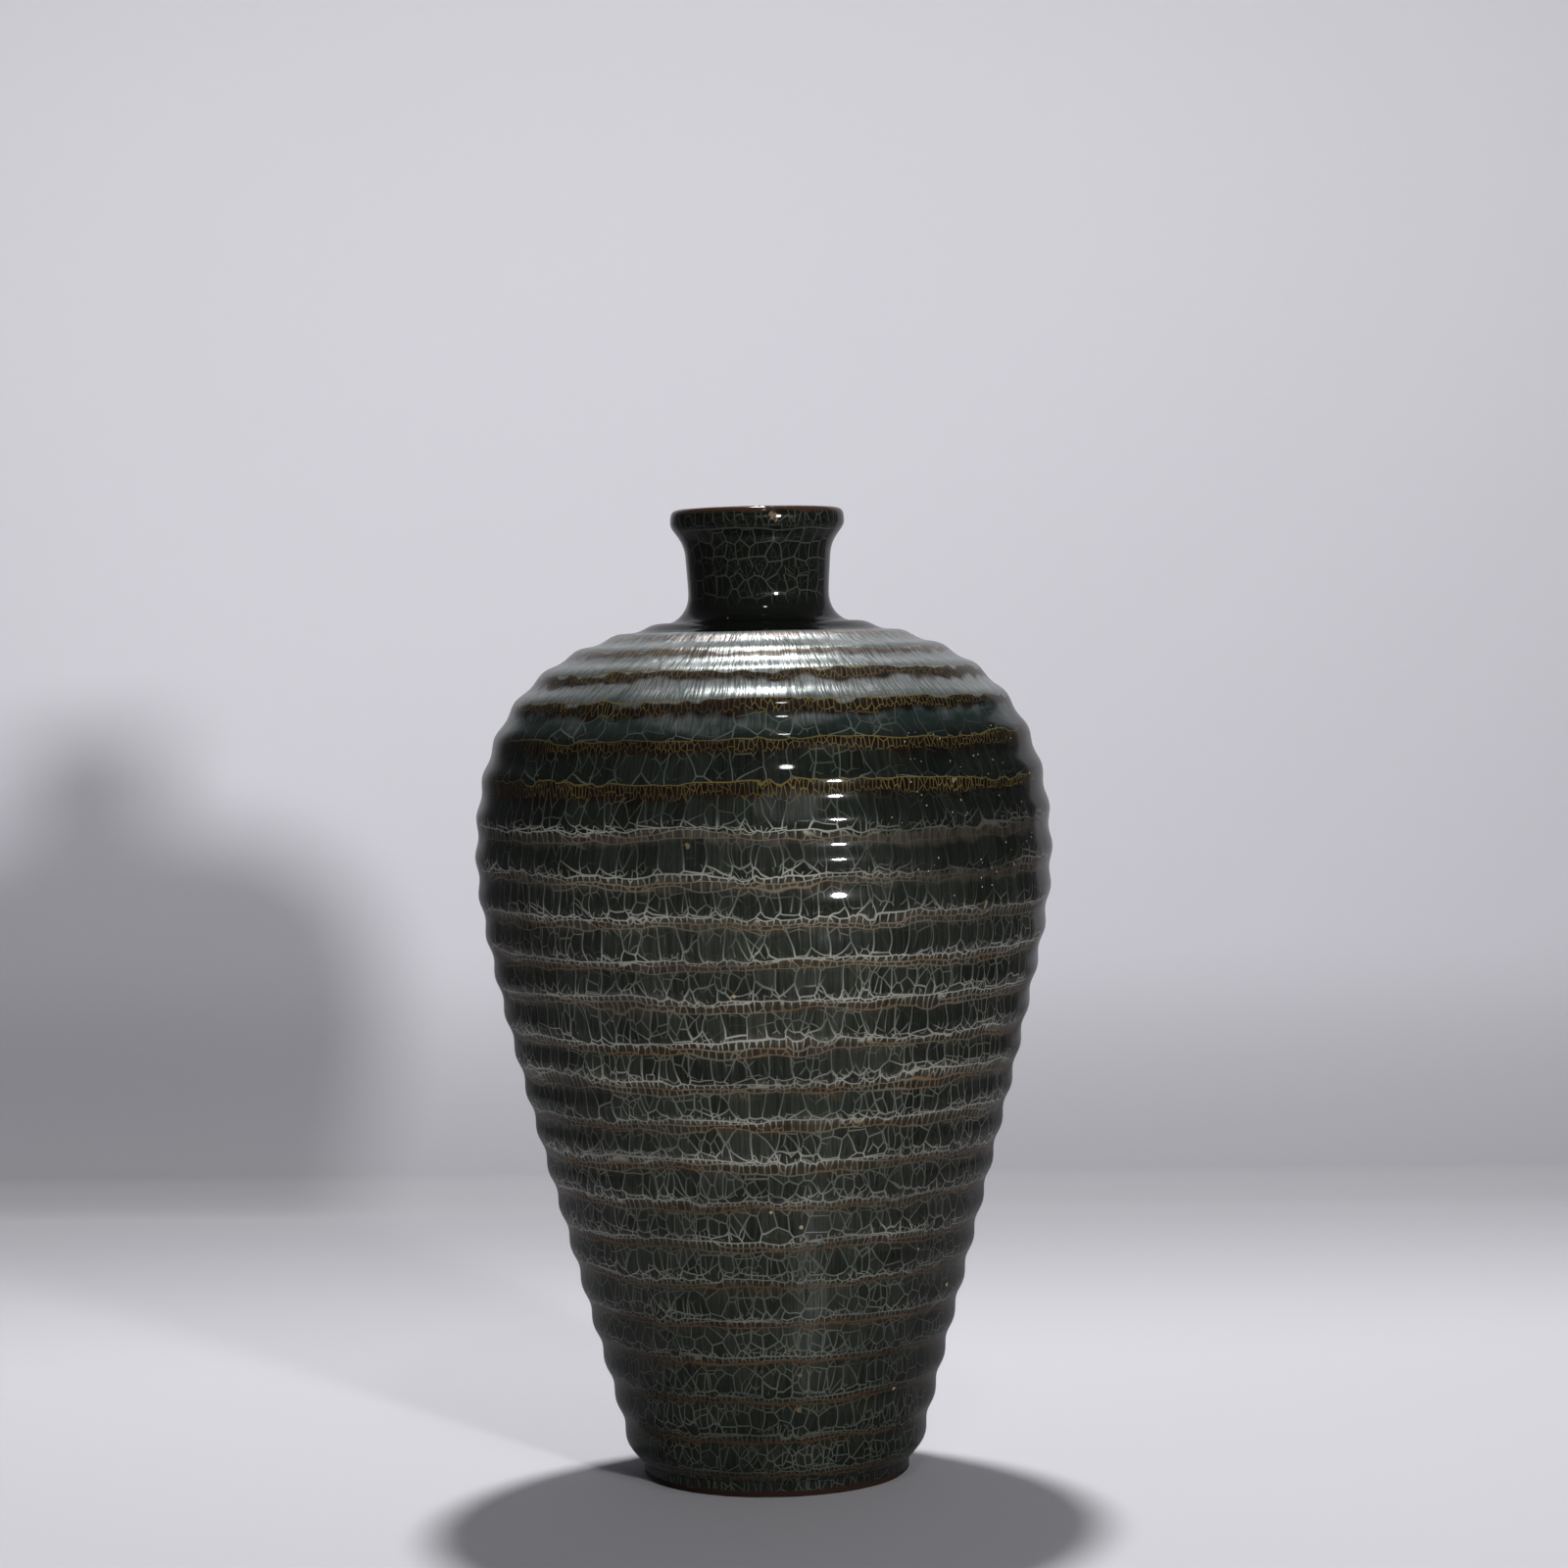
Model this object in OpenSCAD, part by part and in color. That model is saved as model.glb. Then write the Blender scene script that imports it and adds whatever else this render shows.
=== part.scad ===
// Plum vase: a high-shouldered vase with a short neck and a small mouth, thrown in one piece.
// The thrower's fingers left even ridges from the foot to the neck. The whole wall is one
// outline turned about the upright axis, with its foot standing on z = 0.

/* [Foot] */
// Diameter of the foot
foot_d = 82.8; // [74:0.1:88]
// Height of the upright face of the foot
foot_h = 4.4; // [2:0.1:10]
// Bevel wiped round the bottom edge of the foot
foot_bevel = 0.8; // [0.2:0.1:1.5]
// Width of the ring that stands on the table
foot_ring_w = 7; // [4:0.5:12]
// Depth of the hollow turned under the foot
foot_hollow = 2.4; // [1:0.1:4]

/* [Body] */
// Diameter where the heel above the foot meets the flank
heel_d = 91.6; // [88:0.1:105]
// Height of the heel
heel_h = 6.6; // [5:0.1:12]
// Height of the flank, from the heel up to the belly
flank_h = 183; // [150:0.5:220]
// Diameter of the belly, the widest place, in its grooves
belly_d = 177.8; // [150:0.1:200]
// Height of the shoulder, from the belly up to the root of the neck
shoulder_h = 70.7; // [60:0.1:85]
// Share of the flank's height over which it runs nearly straight
flank_straight = 0.72; // [0.6:0.01:0.8]
// Share of the flank's spread that it gains over that height
flank_spread = 0.82; // [0.75:0.01:0.9]
// Fullness of the shoulder just above the belly
shoulder_full = 0.855; // [0.7:0.005:0.95]

/* [Neck and lip] */
// Diameter at the root of the neck, where the shoulder ends
root_d = 58; // [52:0.5:70]
// Height of the curve from the root up to the waist of the neck
collar_h = 9.3; // [6:0.1:14]
// Diameter of the neck at its waist
waist_d = 43.8; // [36:0.1:50]
// Height of the neck, from its waist to the underside of the lip
neck_h = 11.1; // [6:0.1:30]
// How much the neck widens over that height
neck_flare = 0.6; // [0:0.1:4]
// Diameter of the lip
lip_d = 54.1; // [50:0.1:70]
// Height of the underside of the lip
lip_under_h = 10.9; // [6:0.1:16]
// Height of the rounded crown of the lip
lip_crown_h = 4; // [2:0.1:6]
// Thickness of the lip
lip_t = 6.6; // [4:0.1:8]

/* [Wall] */
// Thickness of the wall, without its ridges
wall = 4.5; // [3:0.1:6]
// Height of the floor inside, above the table
floor_z = 9.5; // [7:0.1:14]
// Radius of the corner between the floor and the wall inside
floor_round = 9; // [5:0.5:14]

/* [Finger ridges] */
// Spacing of the ridges along the wall
ridge_pitch = 12.5; // [9:0.1:16]
// Height of each ridge above its grooves
ridge_h = 1; // [0.4:0.1:2]
// Plain wall between the foot and the lowest groove
ridge_start = 2.6; // [2:0.1:8]
// Least plain wall between the highest ridge and the waist of the neck
ridge_end = 6; // [4:0.1:10]

/* [Hidden] */
$fn = 180;

// Heights at which one stretch of the outline hands over to the next
heel_z = foot_h + heel_h;
belly_z = heel_z + flank_h;
root_z = belly_z + shoulder_h;
waist_z = root_z + collar_h;
neck_z = waist_z + neck_h;
lip_z = neck_z + lip_under_h;
vase_h = lip_z + lip_crown_h;

// The same places as points on the outline: distance from the axis, height
foot_top = [foot_d / 2, foot_h];
heel = [heel_d / 2, heel_z];
belly = [belly_d / 2, belly_z];
root = [root_d / 2, root_z];
waist = [waist_d / 2, waist_z];
neck_top = [waist_d / 2 + neck_flare, neck_z];
lip = [lip_d / 2, lip_z];

// Pulls of the curves at those points: how far each curve follows its tangent
flank_pull = [flank_spread * (belly.x - heel.x), flank_straight * flank_h];
heel_pull = 0.53 * heel_h * flank_pull / norm(flank_pull);
foot_pull = [0.38 * (heel.x - foot_top.x), 0.12 * heel_h];
belly_pull_down = [0, -0.12 * flank_h];
belly_pull_up = [0, shoulder_full * shoulder_h];
root_pull = [0.35 * (belly.x - root.x), -0.075 * shoulder_h];
collar_pull = -0.48 * (root.x - waist.x) * root_pull / norm(root_pull);
waist_pull_down = [0, -0.6 * collar_h];
waist_pull_up = [0, 0.36 * neck_h];
neck_pull = 0.38 * [neck_flare, neck_h];
under_pull = 0.6 * lip_under_h * neck_pull / norm(neck_pull);
lip_pull = [0, -0.27 * lip_under_h];

rail_steps = 150; // samples along each curve, from which the wall's length is measured
ridge_steps = 8; // outline points to a ridge
bend_steps = 6; // outline points to each small curve
plain_steps = 3; // outline points to the plain wall above the foot
slope_reach = 0.4; // length of wall each way over which its direction is read
inside_step = 7; // spacing of the outline points up the smooth inside

// One cubic curve from a to b, leaving a along pull_a and reaching b from b + pull_b
function curve(a, pull_a, b, pull_b, steps) = [
    for (i = [0 : steps])
        let (t = i / steps, u = 1 - t)
        u * u * u * a + 3 * u * u * t * (a + pull_a) + 3 * u * t * t * (b + pull_b) + t * t * t * b
];

function without_first(points) = [for (i = [1 : len(points) - 1]) points[i]];

// The rail is the bare wall, without its ridges, from the foot to the waist of the neck
rail = concat(
    curve(foot_top, foot_pull, heel, -heel_pull, rail_steps),
    without_first(curve(heel, flank_pull, belly, belly_pull_down, rail_steps)),
    without_first(curve(belly, belly_pull_up, root, root_pull, rail_steps)),
    without_first(curve(root, collar_pull, waist, waist_pull_down, rail_steps))
);

// Length of wall from the foot to each point of the rail
rail_last = len(rail) - 1;
rail_run = [
    for (i = 0, run = 0; i <= rail_last;
        i = i + 1, run = i > rail_last ? run : run + norm(rail[i] - rail[i - 1])) run
];
rail_length = rail_run[rail_last];
rail_across = [for (i = [0 : rail_last]) [rail_run[i], rail[i].x]];
rail_up = [for (i = [0 : rail_last]) [rail_run[i], rail[i].y]];

// The rail's point at a length of wall, and the direction square to the wall there
function rail_at(run) = [lookup(run, rail_across), lookup(run, rail_up)];
function outward_at(run) =
    let (way = rail_at(run + slope_reach) - rail_at(run - slope_reach))
    [way.y, -way.x] / norm(way);

// Ridges fill the wall from the lowest groove to the collar, a whole number of them
ridge_count = floor((rail_length - ridge_start - ridge_end) / ridge_pitch);
ridge_stop = ridge_start + ridge_count * ridge_pitch;

// A ridge rises from the groove below it and falls to the groove above it as a smooth wave
function ridge_rise(run) =
    run < ridge_start || run > ridge_stop
        ? 0
        : ridge_h * (1 - cos(360 * (run - ridge_start) / ridge_pitch)) / 2;

// Outside of the ridged wall
function ridged(run) = rail_at(run) + ridge_rise(run) * outward_at(run);
heel_plain = [for (i = [0 : plain_steps - 1]) ridged(i * ridge_start / plain_steps)];
ridges = [
    for (i = [0 : ridge_count * ridge_steps]) ridged(ridge_start + i * ridge_pitch / ridge_steps)
];
collar_plain = [
    for (i = [1 : bend_steps]) ridged(ridge_stop + i * (rail_length - ridge_stop) / bend_steps)
];

// Neck and lip, outside, and the round crown of the lip over into the mouth
crown_top = [lip.x - lip_t / 2, vase_h];
mouth = [lip.x - lip_t, lip_z];
throat_top = [waist.x - wall, neck_z];
crown_pull_up = [0, 0.82 * lip_crown_h];
crown_pull_out = [0.4 * lip_t, 0];
mouth_pull = [0, -0.3 * lip_under_h];
throat_pull = [0, 0.5 * lip_under_h];
neck_and_lip = concat(
    without_first(curve(waist, waist_pull_up, neck_top, -neck_pull, bend_steps)),
    without_first(curve(neck_top, under_pull, lip, lip_pull, 2 * bend_steps)),
    without_first(curve(lip, crown_pull_up, crown_top, crown_pull_out, bend_steps)),
    without_first(curve(crown_top, -crown_pull_out, mouth, crown_pull_up, bend_steps)),
    without_first(curve(mouth, mouth_pull, throat_top, throat_pull, bend_steps))
);

// Inside of the wall, square to the rail, down from the throat to the corner of the floor
function inside(run) = rail_at(run) - wall * outward_at(run);
corner_run = norm(heel - foot_top) + floor_round;
inside_count = round((rail_length - corner_run) / inside_step);
inside_wall = [
    for (i = [0 : inside_count]) inside(rail_length - i * (rail_length - corner_run) / inside_count)
];
corner_top = inside(corner_run);
corner_foot = [corner_top.x - floor_round, floor_z];
floor_corner = without_first(curve(
    corner_top, -0.6 * floor_round * flank_pull / norm(flank_pull),
    corner_foot, [0.6 * floor_round, 0], bend_steps
));

// The foot stands on a ring with a bevelled outer edge and a shallow hollow inside it
ring_out = foot_d / 2 - foot_bevel;
ring_in = ring_out - foot_ring_w;
foot_under = [
    [0, foot_hollow], [ring_in - foot_hollow, foot_hollow], [ring_in, 0],
    [ring_out, 0], [foot_d / 2, foot_bevel]
];

module vase() {
    color([0.15, 0.18, 0.16])
        rotate_extrude()
            polygon(concat(
                foot_under, heel_plain, ridges, collar_plain, neck_and_lip,
                inside_wall, floor_corner, [[0, floor_z]]
            ));
}

vase();
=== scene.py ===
import math

import bpy
from mathutils import Matrix, Vector


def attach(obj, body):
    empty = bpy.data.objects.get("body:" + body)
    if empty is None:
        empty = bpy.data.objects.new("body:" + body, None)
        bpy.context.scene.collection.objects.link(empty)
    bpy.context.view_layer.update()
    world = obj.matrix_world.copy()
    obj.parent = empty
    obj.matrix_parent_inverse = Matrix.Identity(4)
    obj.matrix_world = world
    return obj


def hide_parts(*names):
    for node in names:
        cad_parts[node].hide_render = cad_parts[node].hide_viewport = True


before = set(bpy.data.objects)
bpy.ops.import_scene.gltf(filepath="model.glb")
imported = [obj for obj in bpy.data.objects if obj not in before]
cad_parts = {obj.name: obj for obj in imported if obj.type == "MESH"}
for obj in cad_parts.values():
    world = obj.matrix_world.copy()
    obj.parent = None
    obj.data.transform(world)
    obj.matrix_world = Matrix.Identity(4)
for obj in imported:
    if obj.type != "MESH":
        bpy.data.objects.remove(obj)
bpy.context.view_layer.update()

# Camera. It stands a little over a metre from the vase, a bit lower than the lip, and looks slightly down
# through a long lens, with the vase just left of the middle and leaning a degree to the left.
LENS = 85.5
SENSOR = 36.0
CAMERA_DISTANCE = 1.159
CAMERA_HEIGHT = 0.251
CAMERA_DOWN = math.radians(1.81)
CAMERA_RIGHT = math.radians(0.33)
CAMERA_LEAN = math.radians(1.2)

camera_data = bpy.data.cameras.new("camera")
camera_data.lens = LENS
camera_data.sensor_width = SENSOR
camera = bpy.data.objects.new("camera", camera_data)
bpy.context.scene.collection.objects.link(camera)
camera.matrix_world = (
    Matrix.Translation((0, -CAMERA_DISTANCE, CAMERA_HEIGHT))
    @ Matrix.Rotation(-CAMERA_RIGHT, 4, "Z")
    @ Matrix.Rotation(math.radians(90) - CAMERA_DOWN, 4, "X")
    @ Matrix.Rotation(-CAMERA_LEAN, 4, "Z")
)
bpy.context.scene.camera = camera
bpy.context.scene.view_settings.view_transform = "Standard"

# Studio sweep. One sheet of pale paper lies under the vase, turns up in a tight curve behind it and stands
# as the backdrop, turned a few degrees so that its foot runs level in the picture. The lamps hardly reach the
# standing part, so a glow of its own, which lights nothing else, makes it pale.
PAPER_WIDTH = 3.2
PAPER_FRONT = 1.6
PAPER_BACK = 0.56
PAPER_RISE = 0.75
PAPER_CURVE = 0.02
PAPER_CURVE_STEPS = 12
PAPER_TURN = math.radians(-5)
# Colours of the standing paper and of the floor, and of the painted shade that darkens the fold between them and
# the back of the floor
PAPER = (0.750, 0.744, 0.788, 1)
PAPER_FLOOR = (0.540, 0.535, 0.568, 1)
PAINTED_FOLD_SHADE = (0.330, 0.327, 0.347, 1)
PAPER_FOOT_START = 0.15
PAPER_FOOT_TOP = 0.13
# The glow's strength at two heights, and what is added at the foot
GLOW_START = 0.08
GLOW_END = 0.55
GLOW_LOW = 0.095
GLOW_HIGH = 0.29
GLOW_FOOT = 0.14
GLOW_FOOT_TOP = 0.095
# How far the lit middle reaches behind the vase, in front of it and to the sides, and how dark the rest is
LIT_BEHIND = 0.10
LIT_FRONT = 0.15
LIT_SIDE = 0.43
LIT_LEFT_SIDE = 0.10
LIT_FLOOR_SIDE = 0.16
LIT_SIDE_END = 0.58
UNLIT = (0.045, 0.045, 0.05, 1)
LEAST_UNLIT = 0.40
FLOOR_UNLIT = 0.80


def select_only(piece):
    """Makes a piece the one that the next operators act on."""
    bpy.ops.object.select_all(action="DESELECT")
    piece.select_set(True)
    bpy.context.view_layer.objects.active = piece


def clear_selection(piece, mode):
    """Leaves nothing of the piece selected, so that code can pick its points, edges or faces."""
    select_only(piece)
    bpy.ops.object.mode_set(mode="EDIT")
    bpy.ops.mesh.select_mode(type=mode)
    bpy.ops.mesh.select_all(action="DESELECT")
    bpy.ops.object.mode_set(mode="OBJECT")


def add_node(tree, kind, inputs=None, **settings):
    """Adds a node with its settings, and gives each input that is named a value or a link."""
    node = tree.nodes.new(kind)
    for name, value in settings.items():
        setattr(node, name, value)
    for name, value in (inputs or {}).items():
        if isinstance(value, bpy.types.NodeSocket):
            tree.links.new(value, node.inputs[name])
        else:
            node.inputs[name].default_value = value
    return node


def maths(tree, operation, *values):
    """One step of arithmetic on numbers that vary over the surface."""
    return add_node(tree, "ShaderNodeMath", dict(enumerate(values)), operation=operation).outputs[0]


def fade(tree, value, start, end, low=0.0, high=1.0):
    """Goes smoothly from low to high while the value goes from start to end."""
    ends = {"Value": value, "From Min": start, "From Max": end, "To Min": low, "To Max": high}
    return add_node(tree, "ShaderNodeMapRange", ends, interpolation_type="SMOOTHSTEP").outputs[0]


bpy.ops.object.select_all(action="DESELECT")
bpy.ops.mesh.primitive_plane_add(size=1)
sheet = bpy.context.object
sheet.name = "paper_sweep"
sheet.scale = (PAPER_WIDTH, PAPER_FRONT + PAPER_BACK, 1)
sheet.location = (0, (PAPER_BACK - PAPER_FRONT) / 2, 0)
bpy.ops.object.transform_apply(location=True, rotation=True, scale=True)
clear_selection(sheet, "EDGE")
points = sheet.data.vertices
max(sheet.data.edges, key=lambda edge: sum(points[i].co.y for i in edge.vertices)).select = True
bpy.ops.object.mode_set(mode="EDIT")
bpy.ops.mesh.extrude_region_move(TRANSFORM_OT_translate={"value": (0, 0, PAPER_RISE)})
bpy.ops.object.mode_set(mode="OBJECT")
clear_selection(sheet, "EDGE")
points = sheet.data.vertices
for edge in sheet.data.edges:
    edge.select = all(points[i].co.z == 0 and points[i].co.y > 0 for i in edge.vertices)
bpy.ops.object.mode_set(mode="EDIT")
bpy.ops.mesh.bevel(offset=PAPER_CURVE, segments=PAPER_CURVE_STEPS)
bpy.ops.object.mode_set(mode="OBJECT")
bpy.ops.object.shade_smooth()
sheet.data.transform(
    Matrix.Translation((0, PAPER_BACK, 0))
    @ Matrix.Rotation(PAPER_TURN, 4, "Z")
    @ Matrix.Translation((0, -PAPER_BACK, 0))
)
sheet.visible_shadow = False

paper = bpy.data.materials.new("pale_paper")
paper.use_nodes = True
tree = paper.node_tree
shader = tree.nodes["Principled BSDF"]
shader.inputs["Roughness"].default_value = 0.9
shader.inputs["Specular IOR Level"].default_value = 0.1
rays = add_node(tree, "ShaderNodeLightPath").outputs
seen = maths(tree, "MAXIMUM", rays["Is Camera Ray"], rays["Is Glossy Ray"])
place = add_node(tree, "ShaderNodeTexCoord").outputs["Object"]
spot = add_node(tree, "ShaderNodeSeparateXYZ", {"Vector": place}).outputs
height = spot["Z"]
# Painted shade: the paper darkens towards the fold, over the back of the floor and the foot of the backdrop
toward_fold = fade(tree, spot["Y"], PAPER_FOOT_START, PAPER_BACK)
fold_shade = maths(tree, "MULTIPLY", toward_fold, fade(tree, height, PAPER_FOOT_TOP, 0.0))
standing = fade(tree, height, 0.0, PAPER_CURVE)
shaded = {0: standing, 6: PAPER_FLOOR, 7: PAPER}
shaded = add_node(tree, "ShaderNodeMix", shaded, data_type="RGBA").outputs[2]
shaded = {0: fold_shade, 6: shaded, 7: PAINTED_FOLD_SHADE}
shaded = add_node(tree, "ShaderNodeMix", shaded, data_type="RGBA").outputs[2]
tree.links.new(shaded, shader.inputs["Base Color"])
strength = fade(tree, height, GLOW_START, GLOW_END, GLOW_LOW, GLOW_HIGH)
strength = maths(tree, "ADD", strength, fade(tree, height, GLOW_FOOT_TOP, 0.0, 0.0, GLOW_FOOT))
strength = maths(tree, "MULTIPLY", maths(tree, "MULTIPLY", strength, standing), seen)
glow = add_node(tree, "ShaderNodeEmission", {"Color": PAPER, "Strength": strength})
lit = add_node(tree, "ShaderNodeAddShader", {0: shader.outputs[0], 1: glow.outputs[0]})

# In reflections the sweep shows lit only in its middle: past it the reflected paper is painted dark, a painted
# reflection of the dark room at the sides and the front
side = fade(tree, spot["X"], 0.0, -LIT_LEFT_SIDE, LIT_SIDE, LIT_LEFT_SIDE)
side = fade(tree, height, 0.0, PAPER_FOOT_TOP, LIT_FLOOR_SIDE, side)
beside_spot = fade(tree, maths(tree, "ABSOLUTE", spot["X"]), side, LIT_SIDE_END)
before_spot = fade(tree, spot["Y"], LIT_BEHIND, -LIT_FRONT)
least = fade(tree, height, 0.0, PAPER_FOOT_TOP, FLOOR_UNLIT, LEAST_UNLIT)
past_spot = maths(tree, "MAXIMUM", maths(tree, "MAXIMUM", beside_spot, before_spot), least)
past_spot = maths(tree, "MULTIPLY", past_spot, rays["Is Glossy Ray"])
unlit = add_node(tree, "ShaderNodeEmission", {"Color": UNLIT})
front = add_node(tree, "ShaderNodeMixShader", {0: past_spot, 1: lit.outputs[0], 2: unlit.outputs[0]})
back = add_node(tree, "ShaderNodeBsdfTransparent")
behind = add_node(tree, "ShaderNodeNewGeometry").outputs["Backfacing"]
sides = add_node(tree, "ShaderNodeMixShader", {0: behind, 1: front.outputs[0], 2: back.outputs[0]})
tree.links.new(sides.outputs[0], tree.nodes["Material Output"].inputs["Surface"])
sheet.data.materials.append(paper)

# Lamps. A soft head at the right front lights the vase at a plain level and throws its shadow on the
# backdrop. A weak one, high in front, gives short glints on the shoulder. A third, above and behind, lights
# the floor and the shoulder and throws the shadow under the vase. The room behind the camera is dark.

# Each turn is in degrees round from the camera, each rise in degrees above level, and the beam in degrees.
# Reach, size and the height that is aimed at are in metres, and a level of 1 shows a colour as written.
LAMPS = {
    "front_head": {"turn": 28.3, "rise": 10, "reach": 2.0, "size": 0.18, "level": 0.92, "beam": 50, "aim": 0.28},
    "high_head": {"turn": 13, "rise": 54, "reach": 1.6, "size": 0.106, "level": 0.05, "beam": 180, "aim": 0.18},
    "top_head": {"turn": 178, "rise": 69, "reach": 2.2, "size": 0.20, "level": 1.20, "beam": 180, "aim": 0.18},
}
LAMP_CENTRE = Vector((0, 0, 0.18))
ROOM_SEEN = (0.60, 0.59, 0.63, 1)
ROOM_DARK = (0.045, 0.045, 0.05, 1)

for name, lamp in LAMPS.items():
    turn, rise = math.radians(lamp["turn"]), math.radians(lamp["rise"])
    data = bpy.data.lights.new(name, "AREA")
    data.shape = "DISK"
    data.size = lamp["size"]
    data.spread = math.radians(lamp["beam"])
    half_beam = math.radians(lamp["beam"] / 2)
    narrowing = math.tan(half_beam) / (math.tan(half_beam) - half_beam)
    data.energy = math.pi**2 * lamp["reach"] ** 2 * lamp["level"] / narrowing
    head = bpy.data.objects.new(name, data)
    bpy.context.scene.collection.objects.link(head)
    flat = math.cos(rise)
    away = Vector((math.sin(turn) * flat, -math.cos(turn) * flat, math.sin(rise)))
    head.location = LAMP_CENTRE + lamp["reach"] * away
    head.rotation_euler = (head.location - Vector((0, 0, lamp["aim"]))).to_track_quat("Z", "Y").to_euler()

world = bpy.data.worlds.new("studio")
bpy.context.scene.world = world
world.use_nodes = True
tree = world.node_tree
dark = tree.nodes["Background"]
dark.inputs["Color"].default_value = ROOM_DARK
pale = add_node(tree, "ShaderNodeBackground", {"Color": ROOM_SEEN})
rays = add_node(tree, "ShaderNodeLightPath").outputs
room = add_node(tree, "ShaderNodeMixShader", {0: rays["Is Camera Ray"], 1: dark.outputs[0], 2: pale.outputs[0]})
tree.links.new(room.outputs[0], tree.nodes["World Output"].inputs["Surface"])

# Thrown wall. Stoneware thrown on the wheel as one piece, from the foot ring to the rolled lip. Its section
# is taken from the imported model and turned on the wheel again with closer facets. Each point of the section
# keeps the number of ridges between it and the foot, which the glaze follows.
TURNS = 256
TOUCH = 1e-6
RIDGES = 24
HALF_RIDGE = 0.00625
LEAST_PROUD = 0.0007
MOST_PROUD = 0.0015
UNEVEN = 0.0004
UNEVEN_SIZE = 0.035
SHARP_EDGE = math.radians(35)

bpy.ops.object.select_all(action="DESELECT")
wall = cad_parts["vase"].copy()
wall.data = wall.data.copy()
wall.name = "thrown_wall"
wall.parent = None
bpy.context.scene.collection.objects.link(wall)
wall.data.materials.clear()
select_only(wall)
bpy.ops.object.mode_set(mode="EDIT")
bpy.ops.mesh.select_mode(type="VERT")
bpy.ops.mesh.select_all(action="SELECT")
bpy.ops.mesh.remove_doubles(threshold=TOUCH)
bpy.ops.mesh.select_all(action="DESELECT")
bpy.ops.object.mode_set(mode="OBJECT")
for point in wall.data.vertices:
    point.select = abs(point.co.y) > TOUCH or point.co.x < -TOUCH
bpy.ops.object.mode_set(mode="EDIT")
bpy.ops.mesh.delete(type="VERT")
bpy.ops.object.mode_set(mode="OBJECT")

# The section's points in order, from the hollow under the foot, over the lip, to the floor inside
beside = {point.index: [] for point in wall.data.vertices}
for edge in wall.data.edges:
    a, b = edge.vertices
    beside[a].append(b)
    beside[b].append(a)
ends = [i for i in beside if len(beside[i]) == 1]
order = [min(ends, key=lambda i: wall.data.vertices[i].co.z)]
while len(order) < len(beside):
    order.append(next(i for i in beside[order[-1]] if i not in order[-2:]))
section = [wall.data.vertices[i].co.copy() for i in order]
run = [0.0]
for a, b in zip(section, section[1:]):
    run.append(run[-1] + (b - a).length)


def section_at(length):
    """The section's point at a length along it."""
    i = next((i for i in range(1, len(run) - 1) if run[i] > length), len(run) - 1)
    share = (length - run[i - 1]) / (run[i] - run[i - 1])
    return section[i - 1].lerp(section[i], share)


def proudness(length):
    """How far the section stands out over the chord between the points half a ridge away."""
    low, high = section_at(length - HALF_RIDGE), section_at(length + HALF_RIDGE)
    chord = (high - low).normalized()
    return (low - section_at(length)).cross(chord).y


# The crests that stand proud of the wall, from the second ridge to the highest, give the spacing of the ridges
lip = max(range(len(section)), key=lambda i: section[i].z)
proud = [proudness(length) if HALF_RIDGE < length < run[lip] - HALF_RIDGE else 0.0 for length in run]
crests = [
    run[i]
    for i in range(1, lip)
    if LEAST_PROUD < proud[i] < MOST_PROUD and proud[i - 1] <= proud[i] > proud[i + 1]
]
ridge_run = (crests[-1] - crests[0]) / (len(crests) - 1)
ridge = wall.data.attributes.new("ridge", "FLOAT", "POINT")
for place, length in zip(order, run):
    ridge.data[place].value = RIDGES - 0.5 - (crests[-1] - length) / ridge_run

# The section's two ends are closed to the axis, and it is spun once round
for end in (order[0], order[-1]):
    clear_selection(wall, "VERT")
    wall.data.vertices[end].select = True
    across = wall.data.vertices[end].co.x
    bpy.ops.object.mode_set(mode="EDIT")
    bpy.ops.mesh.extrude_region_move(TRANSFORM_OT_translate={"value": (-across, 0, 0)})
    bpy.ops.object.mode_set(mode="OBJECT")
select_only(wall)
bpy.ops.object.mode_set(mode="EDIT")
bpy.ops.mesh.select_all(action="SELECT")
bpy.ops.mesh.spin(steps=TURNS, angle=2 * math.pi, center=(0, 0, 0), axis=(0, 0, 1))
bpy.ops.mesh.select_all(action="SELECT")
bpy.ops.mesh.remove_doubles(threshold=TOUCH)
bpy.ops.mesh.normals_make_consistent(inside=False)
bpy.ops.object.mode_set(mode="OBJECT")

# The thrower's fingers left the outside a little uneven, all but the foot and the lip
uneven = wall.vertex_groups.new(name="uneven")
for point, ridges_up in zip(wall.data.vertices, wall.data.attributes["ridge"].data):
    weight = min(ridges_up.value, RIDGES + 1 - ridges_up.value, 1.0)
    if weight > 0:
        uneven.add([point.index], weight, "REPLACE")
clouds = bpy.data.textures.new("uneven", "CLOUDS")
clouds.noise_scale = UNEVEN_SIZE
clouds.noise_depth = 1
hollows = wall.modifiers.new("uneven", "DISPLACE")
hollows.texture = clouds
hollows.texture_coords = "LOCAL"
hollows.vertex_group = uneven.name
hollows.mid_level = 1.0
hollows.strength = UNEVEN
bpy.ops.object.modifier_apply(modifier=hollows.name)
wall.vertex_groups.clear()
bpy.ops.object.shade_smooth_by_angle(angle=SHARP_EDGE)

# Crackle glaze. A thick dark grey-green glaze that ran off each ridge and left it brown. It has crazed all
# over: a pale crack follows every crest, small cells fill the brown band below it, and long cells hang
# between one band and the next. On the shoulder the bands are gold and a grey film dulls the glaze.

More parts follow.
